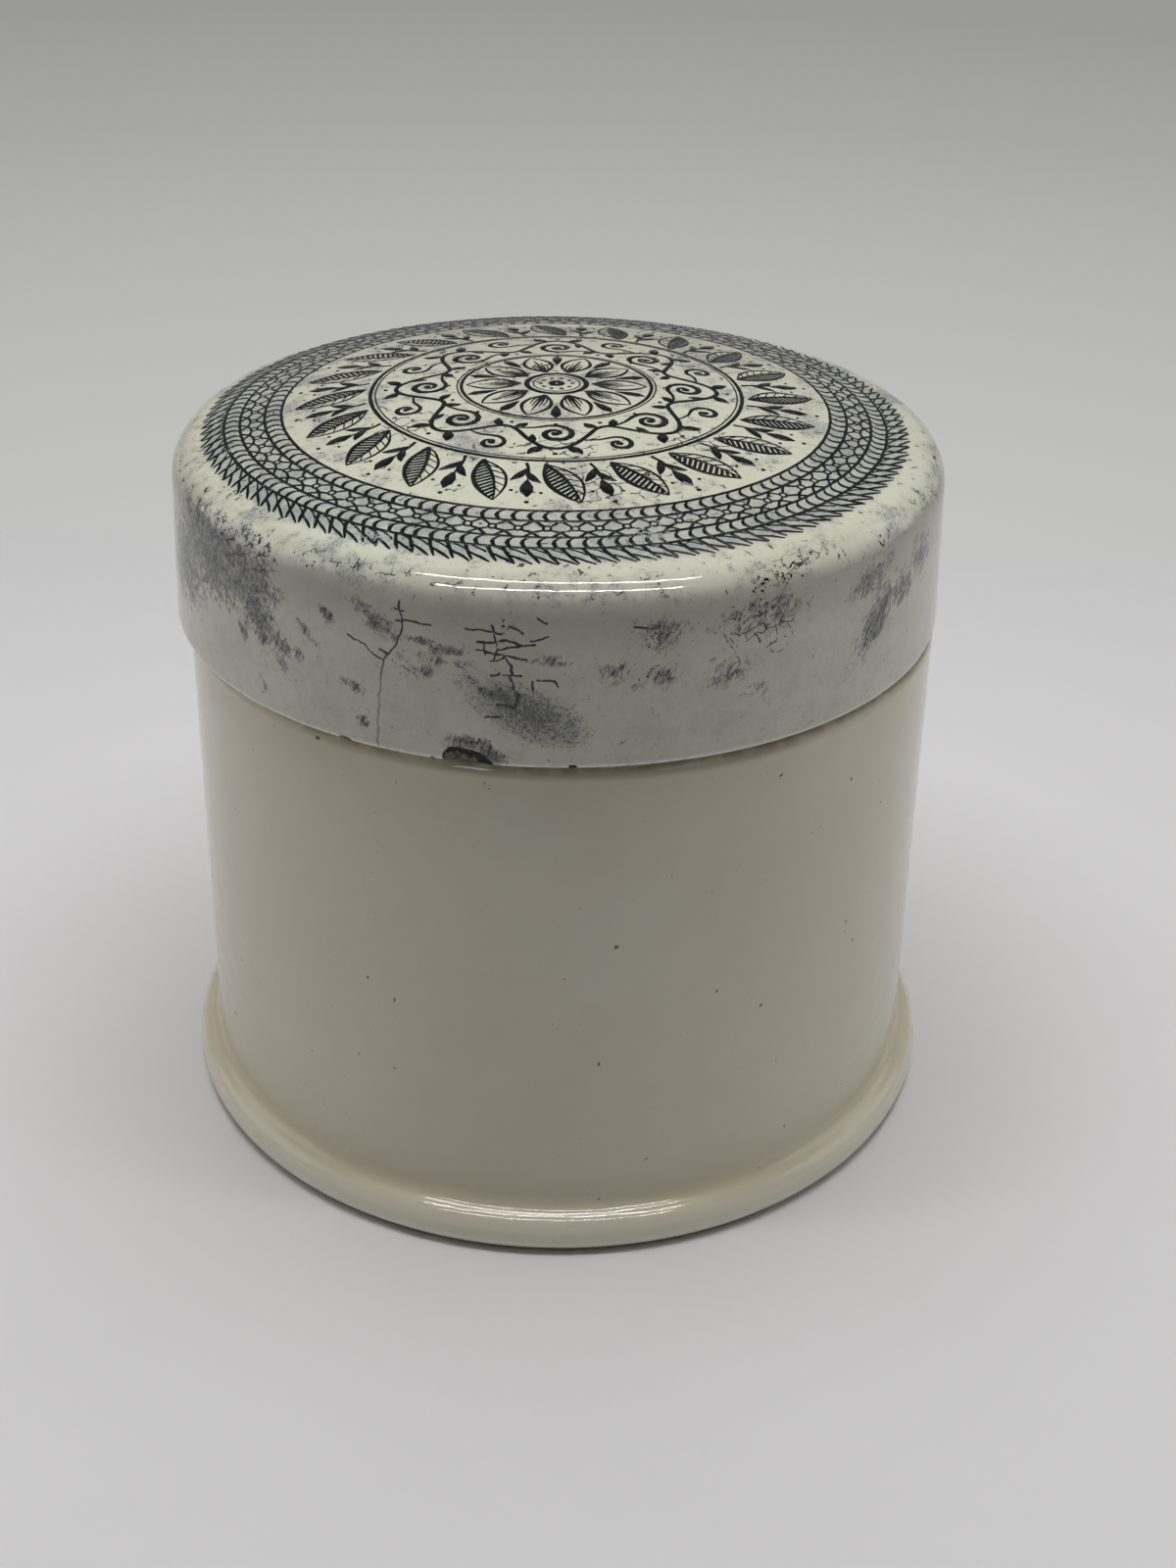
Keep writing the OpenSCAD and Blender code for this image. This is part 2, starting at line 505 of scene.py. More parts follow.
glazeWaves = (0.35, 0.00025)      # strength and depth of the waves in both glazes
potGlaze = {
    "cream": rgb(0.7, 0.652, 0.515), "warm": rgb(0.66, 0.585, 0.41),
    "pale": rgb(0.72, 0.685, 0.555), "speck": rgb(0.1, 0.075, 0.05),
    "rust": rgb(0.42, 0.3, 0.17), "shadeAndGrime": rgb(0.23, 0.185, 0.12),
    "bead": rgb(0.85, 0.815, 0.675), "roughness": 0.11,
    # heights in millimetres between which a mark comes or goes; of four, it comes, then goes
    "beadTop": (3.4, 4.6), "footShade": (0.05, 0.75), "pool": (2.2, 4.4, 4.8, 9.5),
    "stain": (44.0, 50.0), "ledge": (49.7, 50.25, 50.6, 53.5),
    "outside": (34.0, 35.0),          # millimetres from the axis
    "beadLightShare": 0.85, "footShadeShare": 0.8, "warmShare": 0.55, "ledgeShadeShare": 0.6,
    "fineShare": 0.55, "speckShare": 0.8, "rustShare": 0.16,
}


def makePotGlaze(g):
    material, kit, shader = newGlaze("cream_pot_glaze")
    at = inMillimetres(kit)
    x, y, z = kit.parts(at)
    cloud = kit.patches(at, 0.045, 0.4, 0.68, 3.0, 0.55)
    colour = kit.blend(cloud, g["cream"], g["pale"])
    # painted light: the foot bead is paler up to its top, where it faces the light
    colour = kit.blend((1 - kit.rise(z, *g["beadTop"])) * g["beadLightShare"], colour, g["bead"])
    # painted contact shade: the foot's lower edge darkens where it meets the table
    colour = kit.blend((1 - kit.rise(z, *g["footShade"])) * g["footShadeShare"], colour, g["shadeAndGrime"])
    # thicker, warmer glaze pools in the cove above the foot and under the lid's rim
    stain = kit.rise(z, *g["stain"]) * kit.patches(at, 0.06, 0.42, 0.66, 4.0)
    warm = kit.least((kit.band(z, *g["pool"]) + stain) * g["warmShare"], 1.0)
    colour = kit.blend(warm, colour, g["warm"])
    # grime and painted shade on the ledge that the lid's rim covers, and in the corner at the neck,
    # where shade falls between pot and lid
    ledge = kit.band(z, *g["ledge"])
    ledgeGrimeAndShade = kit.patches(at, 0.5, 0.25, 0.62, 4.0, 0.6) * g["ledgeShadeShare"]
    colour = kit.blend(ledge * ledgeGrimeAndShade, colour, g["shadeAndGrime"])
    # fine iron specks, pinholes and faint rusty haze
    colour = kit.blend(kit.patches(at, 3.2, 0.745, 0.775) * g["fineShare"], colour, g["speck"])
    outside = kit.rise(kit.length(kit.point(x, y)), *g["outside"])
    coarse = kit.patches(at, 0.9, 0.785, 0.8, 1.0) * outside * g["speckShare"]
    colour = kit.blend(coarse, colour, g["speck"])
    haze = kit.patches(at, 0.9, 0.6, 0.8, 5.0, 0.7) * g["rustShare"]
    plug(shader, "Base Color", kit.blend(haze, colour, g["rust"]))
    rough = kit.noise(at, 0.35, 3.0) * 0.06 + g["roughness"] - 0.03 + ledge * 0.25
    plug(shader, "Roughness", rough)
    ripple = kit.noise(at, 0.22) * 0.9 + kit.noise(at, 1.4) * 0.1
    plug(shader, "Normal", kit.bump(ripple, *glazeWaves))
    return material


printMiddle = (-0.83, 0.2)        # the print lies a little off the lid's axis
lidGlaze = {
    "white": rgb(0.68, 0.702, 0.57), "cream": rgb(0.665, 0.658, 0.525),
    "side": rgb(0.66, 0.648, 0.545), "shade": rgb(0.4, 0.38, 0.325),
    "edge": rgb(0.88, 0.86, 0.78), "dust": rgb(0.265, 0.272, 0.268),
    "smear": rgb(0.08, 0.084, 0.082), "line": rgb(0.012, 0.012, 0.012),
    "tint": rgb(0.325, 0.345, 0.355), "haze": rgb(0.33, 0.345, 0.33), "roughness": 0.08,
    # millimetres from the axis, from the dome's centre, and from the print's middle
    "onSide": (33.6, 35.0), "onDome": (140.0, 141.0),
    "bladeTint": (30.4, 30.7, 31.7, 32.9), "ropeTint": (25.2, 25.4, 30.3, 30.6),
    # millimetres up the side and on over the rounding; thin is a band of painted shade just under
    # the rounding
    "wall": (64.5, 65.8), "thin": (60.0, 64.6, 65.3, 66.3), "wornAndLit": (51.1, 51.46),
    "shoulder": (63.0, 65.5, 67.5, 70.0), "hairFade": (55.0, 62.0),
    "paintedShadeShare": 0.54, "bladeShare": 0.96, "ropeShare": 0.74, "wornAndLitShare": 0.9,
    "netShare": 0.85, "grainShare": 0.72, "stippleShare": 0.8, "scratchShare": 0.7,
}
# Marks on the lid's outside lie in a plane: millimetres round from the front, and
# millimetres up the side and on over the rounding, where 64 is the top of the side.
# Each spot is: round, up, half length, half height, tilt in degrees, strength
smearSpots = [                    # rubbed patches
    (-36, 62.6, 10, 5, -8, 1.15), (-42.5, 59.5, 8, 5.6, 0, 1),
    (-28.8, 60.2, 6.2, 2.6, -40, 1), (-30.2, 57.3, 1.5, 1, -50, 0.8),
    (-27.4, 57.6, 1.5, 1.1, -40, 0.8), (-24.9, 57.8, 1.6, 0.9, -40, 0.8),
    (-23.1, 57.4, 1.3, 0.8, -50, 0.7), (-25, 55.9, 1.4, 0.8, -60, 0.8),
    (-27.6, 53.2, 1.5, 0.9, -50, 0.5), (-22.2, 59.8, 2.6, 0.6, -35, 0.6),
    (-20, 62, 1.4, 0.8, -30, 0.9), (-15.3, 62.5, 3.8, 1.2, -33, 0.85),
    (-17.4, 56.2, 2, 0.7, -20, 0.8), (-16.5, 53.2, 1, 0.8, 0, 0.8),
    (-11.1, 61.4, 2.2, 0.5, 0, 0.8), (-9, 61, 2.6, 0.45, -4, 0.9),
    (-9.9, 60.1, 3.8, 0.45, -4, 0.9), (-11.5, 58.9, 2.6, 1.1, 0, 0.6),
    (-0.6, 60.6, 3, 0.55, 0, 0.8), (-7.6, 58.6, 2.2, 0.8, 0, 0.4),
    (4.8, 59.5, 2.2, 1.9, 20, 0.52), (8.6, 62.6, 3.6, 2.2, 0, 0.5),
    (8.6, 58.9, 3, 1.9, 0, 0.43), (14.6, 58.3, 4.2, 2, 10, 0.45),
    (17.7, 63, 7, 2.8, 0, 0.5), (17.5, 56.4, 2.4, 1.2, 0, 0.45),
    (31.2, 58.8, 5.8, 2.5, 48, 0.74), (35.8, 60.4, 4, 2.3, 20, 0.74),
    (30.4, 63, 4.8, 2, 14, 0.7), (39.5, 62, 3.6, 2.8, 0, 0.7),
    (63, 59, 9, 4.5, 20, 0.8), (92, 60.5, 10, 3, -10, 0.7),
    (-70, 58.5, 9, 4.5, -25, 0.75), (-96, 60, 7, 3, 15, 0.7),
    (-5.2, 51.8, 1.9, 1.1, -35, 1.3), (-7.3, 52.8, 2.6, 0.9, 0, 1.1),
    (-4.6, 57.5, 2.4, 1.1, -12, 0.95), (-28.8, 62.7, 5, 3.2, -8, 0.95),
]
wedgeSmudge = (-2.3, 55.9, 7, 3, -24, 1)
fleckSpots = [                    # black flecks crowd here
    (-28.3, 65.8, 4.6, 1.3, -14, 1), (-33.6, 65.4, 2, 2.4, 20, 1),
    (-22.5, 66, 3.2, 0.9, -10, 0.55), (20.2, 66.2, 5.6, 1.5, 12, 1),
    (24.5, 67.6, 5, 1.8, 10, 0.7), (17.7, 63.1, 6.5, 2.6, 0, 0.55),
    (8.6, 62.6, 3.4, 2.2, 0, 0.6), (32, 65.7, 1.4, 0.8, 60, 0.9),
    (-4, 63.6, 1.6, 0.8, 0, 0.8), (8, 59.4, 3.4, 2.4, 0, 0.45),
    (60, 65.6, 8, 1.6, 5, 0.8), (-62, 65.8, 9, 1.5, -5, 0.8),
    (100, 65.8, 8, 1.4, 0, 0.8), (-6.9, 52.7, 2.3, 0.45, -8, 1),
]
# Stained crackle shows here: on the side, then on the flat of the top by x and y
netSpots = [
    (-18, 67.4, 13, 1.7, -3, 0.75), (23.5, 67.9, 7, 2.4, 10, 1),
    (18, 61.3, 4.6, 2, 0, 0.7), (-30, 64.4, 6.2, 2.4, -10, 0.9),
    (70, 66.5, 9, 2, 0, 0.8), (-75, 66.5, 10, 2, 0, 0.8),
    (100, 62, 8, 3, 0, 0.7),
]
topNetSpots = [
    (4.5, -20.5, 6.5, 4.2, 15, 1), (0.5, -14, 5, 4, 0, 0.8),
    (12, -12, 5, 4.5, 30, 0.7), (-14, -9, 5, 4, 0, 0.6),
    (-6, 4, 7, 4, 20, 0.7), (10, 9, 6, 5, 0, 0.6),
    (-15, 13, 5, 5, 0, 0.6), (3, 19, 6, 4, 0, 0.7),
]
hairline = [
    [(-13.03, 64.6), (-12.82, 63.1), (-12.83, 62.0), (-13.36, 60.75), (-14.53, 59.2),
     (-14.74, 57.6), (-15.01, 56.0), (-15.13, 53.5), (-15.1, 50.9)],
    [(-14.53, 59.18), (-15.4, 59.48), (-16.27, 60.14), (-17.88, 60.69)],
]
cracks = [
    [(-14.02, 59.76), (-14.96, 60.1)],
    [(-12.7, 63.03), (-11.28, 62.97), (-10.3, 62.87)],
    [(-13.38, 63.89), (-12.6, 63.86)],
    [(-13.31, 62.85), (-12.75, 62.89)],
    [(-7.4, 63.03), (-5.84, 62.94), (-4.3, 62.69)],
    [(-5.22, 63.46), (-5.07, 62.59), (-4.78, 61.43), (-5.07, 60.47)],
    [(-6.39, 61.96), (-4.73, 62.1), (-3.97, 62.29), (-2.98, 61.91), (-1.78, 61.98)],
    [(-6.47, 61.29), (-4.73, 61.02), (-2.43, 60.64)],
    [(-5.84, 61.93), (-5.73, 61.0)],
    [(-4.63, 61.4), (-3.42, 61.76), (-2.87, 61.91)],
    [(-2.12, 62.29), (-0.7, 62.67)],
    [(-5.29, 60.4), (-4.52, 60.46), (-4.29, 60.65)],
    [(-4.3, 60.88), (-3.63, 60.1), (-3.57, 59.27)],
    [(-5.29, 59.12), (-4.63, 59.27)],
    [(-4.18, 59.2), (-2.8, 59.24)],
    [(-3.85, 59.13), (-3.36, 57.97)],
    [(-1.88, 58.8), (-1.83, 57.92)],
    [(-1.44, 58.91), (-0.13, 58.94), (0.14, 58.28)],
    [(-1.48, 64.3), (-0.82, 63.85)],
    [(-3.75, 63.49), (-2.66, 62.97)],
    [(-4.84, 56.58), (-3.4, 56.28), (-2.85, 57.63)],
    [(-5.85, 55.31), (-4.63, 55.46)],
    [(6.38, 63.34), (7.38, 63.22)],
]
faintCracks = [
    [(18.37, 60.74), (18.53, 59.48), (19.83, 59.27), (20.08, 60.27)],
    [(13.51, 62.86), (14.28, 61.19), (15.24, 59.63)],
    [(15.4, 62.28), (15.2, 60.59), (15.64, 58.76)],
    [(16.8, 61.94), (18.7, 61.98)],
]


def tilted(kit, plane, x, y, degrees=0.0, long=1.0, high=1.0):
    # the plane as seen from a point, turned and scaled to an oval's half axes
    return kit.node("ShaderNodeMapping", {
        "Vector": plane, "Location": (x, y, 0.0), "Rotation": (0.0, 0.0, math.radians(degrees)),
        "Scale": (long, high, 1.0)}, {"vector_type": "TEXTURE"})


def spotSum(kit, plane, spots):
    # strongest of several ovals, each fading from its middle to its edge
    total = 0.0
    for x, y, long, high, degrees, strength in spots:
        far = kit.length(tilted(kit, plane, x, y, degrees, long, high))
        total = kit.most((1 - kit.least(far, 1.0)) * strength, total)
    return total


# The soft ovals are painted on the lid's points as attributes, which the glaze reads
def ovals(across, up, spots):
    best = numpy.zeros_like(across)
    for x, y, long, high, degrees, strength in spots:
        dx, dy = turned(across - x, up - y, -degrees)
        far = numpy.hypot(dx / long, dy / high)
        best = numpy.maximum(best, numpy.clip(1.0 - far, 0.0, 1.0) * strength)
    return best


def paintMarks(mesh):
    places = numpy.empty(len(mesh.vertices) * 3)
    mesh.vertices.foreach_get("co", places)
    x, y, z = (places.reshape(-1, 3) / mm).T
    x = x - lidSize["axisX"]
    radius = numpy.hypot(x, y)
    around = numpy.arctan2(x, -y) * lidSize["rim"]
    tilt = numpy.clip(numpy.arctan2(z - roundZ, radius - roundR), 0.0, roundTilt)
    up = (numpy.minimum(z, roundZ) + tilt * lidSize["round"]
          + numpy.maximum(domeEdge - radius, 0.0))
    for name, across, along, spots in (
            ("smeared", around, up, smearSpots), ("wedge", around, up, [wedgeSmudge]),
            ("flecked", around, up, fleckSpots), ("netted", around, up, netSpots),
            ("topNetted", x, y, topNetSpots)):
        mesh.attributes.new(name, "FLOAT", "POINT").data.foreach_set(
            "value", ovals(across, along, spots))


def painted(kit, name):
    return kit.node("ShaderNodeAttribute", settings={"attribute_name": name}, out="Fac")


def lineGap(kit, plane, paths):
    # distance in millimetres from the nearest stretch of the drawn lines
    near = 1000.0
    for path in paths:
        for (x0, y0), (x1, y1) in zip(path, path[1:]):
            turn = math.degrees(math.atan2(y1 - y0, x1 - x0))
            at = kit.vector("ABSOLUTE", tilted(kit, plane, (x0 + x1) / 2, (y0 + y1) / 2, turn))
            past = kit.vector("SUBTRACT", at, (math.hypot(x1 - x0, y1 - y0) / 2, 0, 0))
            near = kit.least(kit.length(kit.vector("MAXIMUM", past)), near)
    return near


def wandering(kit, plane, at, scale, reach):
    # the plane, shaken by noise, so that what is drawn on it wavers
    shake = kit.vector("SUBTRACT", kit.noise(at, scale, out="Color"), (0.5, 0.5, 0.5))
    return kit.vector("ADD", plane, kit.vector("MULTIPLY", shake, (*reach, 0.0)))


def brickNet(kit, plane, at, degrees, size, crowd):
    # near-square crackle; the fuller the crowd, the fewer joints are missing
    bent = wandering(kit, plane, at, 0.55, (2.2, 2.2))
    joint = kit.node("ShaderNodeTexBrick", {
        "Vector": tilted(kit, bent, 0.0, 0.0, degrees, size, size), "Scale": 1.0,
        "Mortar Size": 0.046, "Mortar Smooth": 0.2, "Brick Width": 1.15, "Row Height": 0.72},
        {"offset": 0.43}, "Fac")
    full = kit.least(crowd * 2.0, 1.0) * 0.2
    return joint * kit.rise(kit.noise(at, 0.9, 3.0, 0.6) + full, 0.58, 0.63)


def makeLidGlaze(g):
    material, kit, shader = newGlaze("white_lid_glaze")
    at = inMillimetres(kit, (-lidSize["axisX"], 0.0, 0.0))
    x, y, z = kit.parts(at)
    radius = kit.length(kit.point(x, y))
    along = kit.math("ARCTAN2", x, -y) * lidSize["rim"]
    tilt = kit.math("ARCTAN2", z - roundZ, radius - roundR)
    over = kit.least(kit.most(tilt, 0.0), roundTilt) * lidSize["round"]
    up = kit.least(z, roundZ) + over + kit.most(domeEdge - radius, 0.0)
    plane, topPlane = kit.point(along, up), kit.point(x, y)
    onSide = kit.rise(radius, *g["onSide"])
    onDome = kit.rise(kit.length(kit.point(x, y, z - domeZ)), *g["onDome"])
    outside = kit.most(onSide, onDome)

    colour = kit.blend(kit.patches(at, 0.05, 0.36, 0.66, 3.0, 0.55), g["white"], g["cream"])
    colour = kit.blend(onSide * (1 - kit.rise(up, *g["wall"])), colour, g["side"])
    # painted shade: a darker band just under the rounding, where the side turns away from the light
    # above
    colour = kit.blend(onSide * kit.band(up, *g["thin"]) * g["paintedShadeShare"], colour, g["shade"])

    # a grey tint lies under the printed blades, and a thinner one under the ropes and the net
    printed = kit.length(kit.point(x + (lidSize["axisX"] - printMiddle[0]), y - printMiddle[1]))
    tint = (kit.band(printed, *g["bladeTint"]) * g["bladeShare"]
            + kit.band(printed, *g["ropeTint"]) * g["ropeShare"])
    patchy = kit.patches(at, 1.1, 0.32, 0.7, 4.0, 0.65) * 0.62 + 0.38
    colour = kit.blend(tint * patchy * onDome, colour, g["tint"])

    # mottled grey haze and fine grit over the flat of the top
    fine = kit.noise(at, 3.2, 4.0, 0.72)
    coarse = kit.noise(at, 0.9, 4.0, 0.7)
    dirty = kit.rise(kit.noise(at, 0.15, 5.0, 0.68) + (coarse - 0.5) * 0.35, 0.47, 0.62) * onDome
    grit = kit.rise(fine + dirty * 0.09, 0.555, 0.67)
    mottle = kit.rise(coarse, 0.42, 0.66) * 0.12
    haze = dirty * 0.4 + grit * (dirty * 0.55 + 0.2) + mottle
    colour = kit.blend(haze * outside, colour, g["haze"])

    # dry rubbed patches: a soft grey ground under dark grain, with long scratches
    rubbed = painted(kit, "smeared")
    sides = kit.point(kit.math("ABSOLUTE", along), up)
    streak = kit.noise(tilted(kit, sides, 0.0, 0.0, 36, 1.6, 0.58), 1.0, 5.0, 0.72)
    edge = rubbed * 1.2 + (streak - 0.5) * 2.1 + (coarse - 0.5) * 1.3
    ground = kit.rise(edge, 0.24, 0.7) * 0.8 + kit.patches(at, 0.16, 0.44, 0.7, 5.0, 0.7) * 0.2
    colour = kit.blend(kit.least(ground, 0.9) * onSide, colour, g["dust"])
    grain = kit.rise(edge * 0.5 + (fine - 0.5) * 2.8, 0.28, 0.62) * kit.rise(edge, 0.08, 0.36)
    drawn = kit.noise(tilted(kit, plane, 0.0, 0.0, 68, 3.6, 0.6), 1.0, 2.0, 0.6)
    scratch = 1 - kit.rise(kit.math("ABSOLUTE", drawn - 0.5), 0.01, 0.04)
    scratch = scratch * kit.rise(rubbed, 0.12, 0.36) * kit.rise(coarse, 0.4, 0.5) * onSide
    # one smudge is stippled like soot
    wedge = painted(kit, "wedge")
    sooty = kit.rise(wedge + (streak - 0.5) * 0.8, 0.06, 0.56) * onSide * 0.55
    colour = kit.blend(sooty, colour, g["dust"])
    dots = (kit.noise(at, 4.2, 3.0, 0.7) - 0.5) * 2.2 + (streak - 0.5) * 0.8
    stipple = kit.rise(wedge * 0.62 + dots, 0.1, 0.62) * kit.rise(wedge, 0.0, 0.25)
    smear = kit.most(grain * g["grainShare"], stipple * g["stippleShare"]) * onSide
    colour = kit.blend(smear, colour, g["smear"])
    colour = kit.blend(scratch * g["scratchShare"], colour, g["line"])

    # stained crackle: whole nets in the painted patches
    netted, topNetted = painted(kit, "netted"), painted(kit, "topNetted")
    nets = (brickNet(kit, plane, at, 12, 1.5, netted) * kit.rise(netted, 0.02, 0.25) * onSide
            + brickNet(kit, topPlane, at, 28, 1.9, topNetted) * onDome) * g["netShare"]
    colour = kit.blend(kit.least(nets, 1.0), colour, g["line"])

    # one hairline crack, black above and grey below, and a group of short dark cracks
    shaken = wandering(kit, plane, at, 1.1, (0.6, 0.5))
    thick = kit.noise(at, 1.9) * 0.09 + 0.02
    hair, short, faint = [1 - kit.rise(lineGap(kit, shaken, paths) - thick, low, high)
                          for paths, low, high in ((hairline, -0.005, 0.065),
                                                   (cracks, -0.01, 0.06),
                                                   (faintCracks, -0.01, 0.06))]
    hair = hair * (kit.rise(up, *g["hairFade"]) * 0.5 + 0.48)
    short = short * kit.patches(at, 2.1, 0.26, 0.36)
    faint = faint * kit.patches(at, 2.4, 0.46, 0.54) * 0.6
    crack = kit.most(kit.most(hair, short), faint) * onSide
    colour = kit.blend(crack, colour, g["line"])

    # black flecks, thick on the shoulder and thin elsewhere
    crowd = kit.least(painted(kit, "flecked") * 2.0, 1.0) * onSide
    shoulder = kit.band(up, *g["shoulder"]) * onSide
    scatter = kit.noise(at, 0.12, 3.0)
    fleck = kit.noise(at, 2.5, 3.0, 0.6) + crowd * 0.16 + shoulder * scatter * 0.04
    dust = kit.noise(at, 4.2) + crowd * 0.11 + dirty * 0.07 + scatter * 0.03
    spots = kit.most(kit.rise(fleck, 0.735, 0.765), kit.rise(dust, 0.745, 0.785) * 0.85)
    colour = kit.blend(spots * outside, colour, g["line"])

    # the rim's lower edge is painted pale: worn glaze, and a painted highlight along that edge
    wornAndLit = (1 - kit.rise(z, *g["wornAndLit"])) * kit.patches(at, 0.9, 0.3, 0.48, 3.0) * g["wornAndLitShare"]
    plug(shader, "Base Color", kit.blend(wornAndLit * onSide, colour, g["edge"]))
    dull = (smear * 0.08 + rubbed * 0.08) * onSide + crack * 0.2
    rough = kit.noise(at, 0.35, 3.0) * 0.05 + g["roughness"] - 0.03 + dull
    plug(shader, "Roughness", rough)
    ripple = kit.noise(at, 0.22) * 0.8 + kit.noise(at, 1.4, 3.0) * 0.09
    plug(shader, "Normal", kit.bump(ripple, *glazeWaves))
    return material


inkFinish = {
    "dark": rgb(0.004, 0.007, 0.008), "thin": rgb(0.026, 0.033, 0.037),
    "gone": rgb(0.34, 0.36, 0.35), "roughness": 0.12,
    # where the transfer was rubbed or badly joined: x, y, half sizes, tilt, strength
    "rubbed": [(0, -27.6, 1.6, 1.4, 0, 0.8), (7.2, -27.6, 3, 2.6, 10, 1),
               (9, -31, 3.5, 1.3, 10, 0.8), (-24.4, -18.1, 1.8, 1.5, 0, 0.8),
               (-15.2, -27.8, 2.6, 1.6, -20, 0.8), (15, -28.6, 5.5, 1.4, 25, 0.6),
               (-29.9, -9.7, 1.4, 2.2, 0, 0.7), (10, 26, 3, 2, 0, 0.8)],
}


def makeInk(g):
    material, kit, shader = newGlaze("printed_ink")
    at = inMillimetres(kit)
    colour = kit.blend(kit.patches(at, 0.9, 0.5, 0.8, 5.0, 0.7), g["dark"], g["thin"])
    rubbed = spotSum(kit, kit.point(*kit.parts(at)[:2]), g["rubbed"])
    lost = kit.noise(at, 2.6, 4.0, 0.7) + rubbed * 0.22 + kit.noise(at, 0.2) * 0.08
    plug(shader, "Base Color", kit.blend(kit.rise(lost, 0.7, 0.745), colour, g["gone"]))
    plug(shader, "Roughness", kit.noise(at, 1.2) * 0.06 + g["roughness"] - 0.03)
    return material


chipFinish = {
    "stain": rgb(0.012, 0.011, 0.01), "clay": rgb(0.33, 0.3, 0.23),
    "brown": rgb(0.105, 0.092, 0.068), "roughness": 0.75,
    # the clay darkens between these heights and, across the big chip, these places, in millimetres;
    # strength and depth of the broken surface
    "darkUp": (51.2, 52.2), "darkAcross": (-8.0, -6.4), "break": (0.8, 0.0003),
}


def makeChipClay(g):
    material, kit, shader = newGlaze("chipped_clay")
    at = inMillimetres(kit)
    x, _, z = kit.parts(at)
    colour = kit.blend(kit.patches(at, 1.6, 0.4, 0.62, 4.0, 0.7), g["brown"], g["clay"])
    # darker towards the chip's top, under the glaze, and across its right part
    darkening = (kit.noise(at, 1.7, 5.0, 0.75) + kit.rise(z, *g["darkUp"]) * 0.3
            + kit.rise(x, *g["darkAcross"]) * 0.2)
    plug(shader, "Base Color", kit.blend(kit.rise(darkening, 0.54, 0.62), colour, g["stain"]))
    plug(shader, "Normal", kit.bump(kit.noise(at, 2.5, 5.0, 0.7), *g["break"]))
    shader.inputs["Roughness"].default_value = g["roughness"]
    return material


glazedPot = turnPiece("glazed_pot", potSection(potSize), potSize, makePotGlaze(potGlaze))
glazedLid = turnPiece("glazed_lid", lidSection(lidSize), lidSize, makeLidGlaze(lidGlaze))

# Chips in the lid's rim: bearing, height of the middle, half width, half height, depth
rimChips = [
    (-11.6, 50.75, 2.35, 1.7, 0.85), (2.3, 50.85, 0.55, 0.55, 0.45),
    (7.1, 50.85, 0.32, 0.32, 0.3), (-21.1, 50.85, 0.42, 0.36, 0.35),
    (-31.6, 50.9, 0.35, 0.33, 0.3), (-29, 50.9, 0.85, 0.45, 0.4),
    (-16.2, 50.85, 0.45, 0.4, 0.4), (16.5, 50.85, 0.25, 0.28, 0.25),
    (36, 50.85, 0.3, 0.3, 0.3), (-49, 50.9, 0.35, 0.35, 0.3),
    (88, 50.85, 0.6, 0.5, 0.45), (131, 50.85, 0.9, 0.6, 0.5),
    (-112, 50.85, 0.5, 0.45, 0.4), (171, 50.85, 0.4, 0.4, 0.35),
]
chipShape = {
    "seed": 41, "outside": 0.12,      # millimetres from the rim out to a chip's middle
    "jagged": ((0.22, 1.7), (0.09, 5.0)),      # share of its size, and how fine
}


def chipCutters(chips, c):
    rand = random.Random(c["seed"])
    work = bmesh.new()
    for bearing, z, halfWide, halfHigh, deep in chips:
        made = bmesh.ops.create_icosphere(work, subdivisions=4 if halfWide > 1 else 3, radius=1.0)
        jag = Vector((rand.uniform(0, 50), rand.uniform(0, 50), rand.uniform(0, 50)))
        turn = Matrix.Rotation(math.radians(bearing), 3, "Z")
        middle = Vector((0.0, -(lidSize["rim"] + c["outside"]), 0.0))
        for vert in made["verts"]:
            n = vert.co.normalized()
            size = 1.0 + sum(share * noise.noise(n * fine + jag) for share, fine in c["jagged"])
            p = turn @ (Vector((n.x * halfWide, n.y * deep, n.z * halfHigh)) * size + middle)
            vert.co = (p + Vector((lidSize["axisX"], 0.0, z))) * mm
    mesh = bpy.data.meshes.new("rim_chips")
    work.to_mesh(mesh)
    work.free()
    return mesh


def cutChips(piece, mesh, clay):
    mesh.materials.append(clay)
    for face in mesh.polygons:
        face.use_smooth = True
    cutter = newObject("rim_chips", mesh)
    cut = piece.modifiers.new("chips", "BOOLEAN")
    cut.operation, cut.solver, cut.material_mode = "DIFFERENCE", "EXACT", "TRANSFER"
    cut.object = cutter
    old, piece.data = piece.data, plainMesh(piece, cut)
    bpy.data.objects.remove(cutter)
    bpy.data.meshes.remove(old)
    # the broken edge between glaze and clay stays crisp
    work = bmesh.new()
    work.from_mesh(piece.data)
    for edge in work.edges:
        if len({face.material_index for face in edge.link_faces}) > 1:
            edge.smooth = False
    work.to_mesh(piece.data)
    work.free()
    piece.data.name = piece.name


cutChips(glazedLid, chipCutters(rimChips, chipShape), makeChipClay(chipFinish))
paintMarks(glazedLid.data)
print("chips cut:", len(glazedLid.data.polygons), "faces")


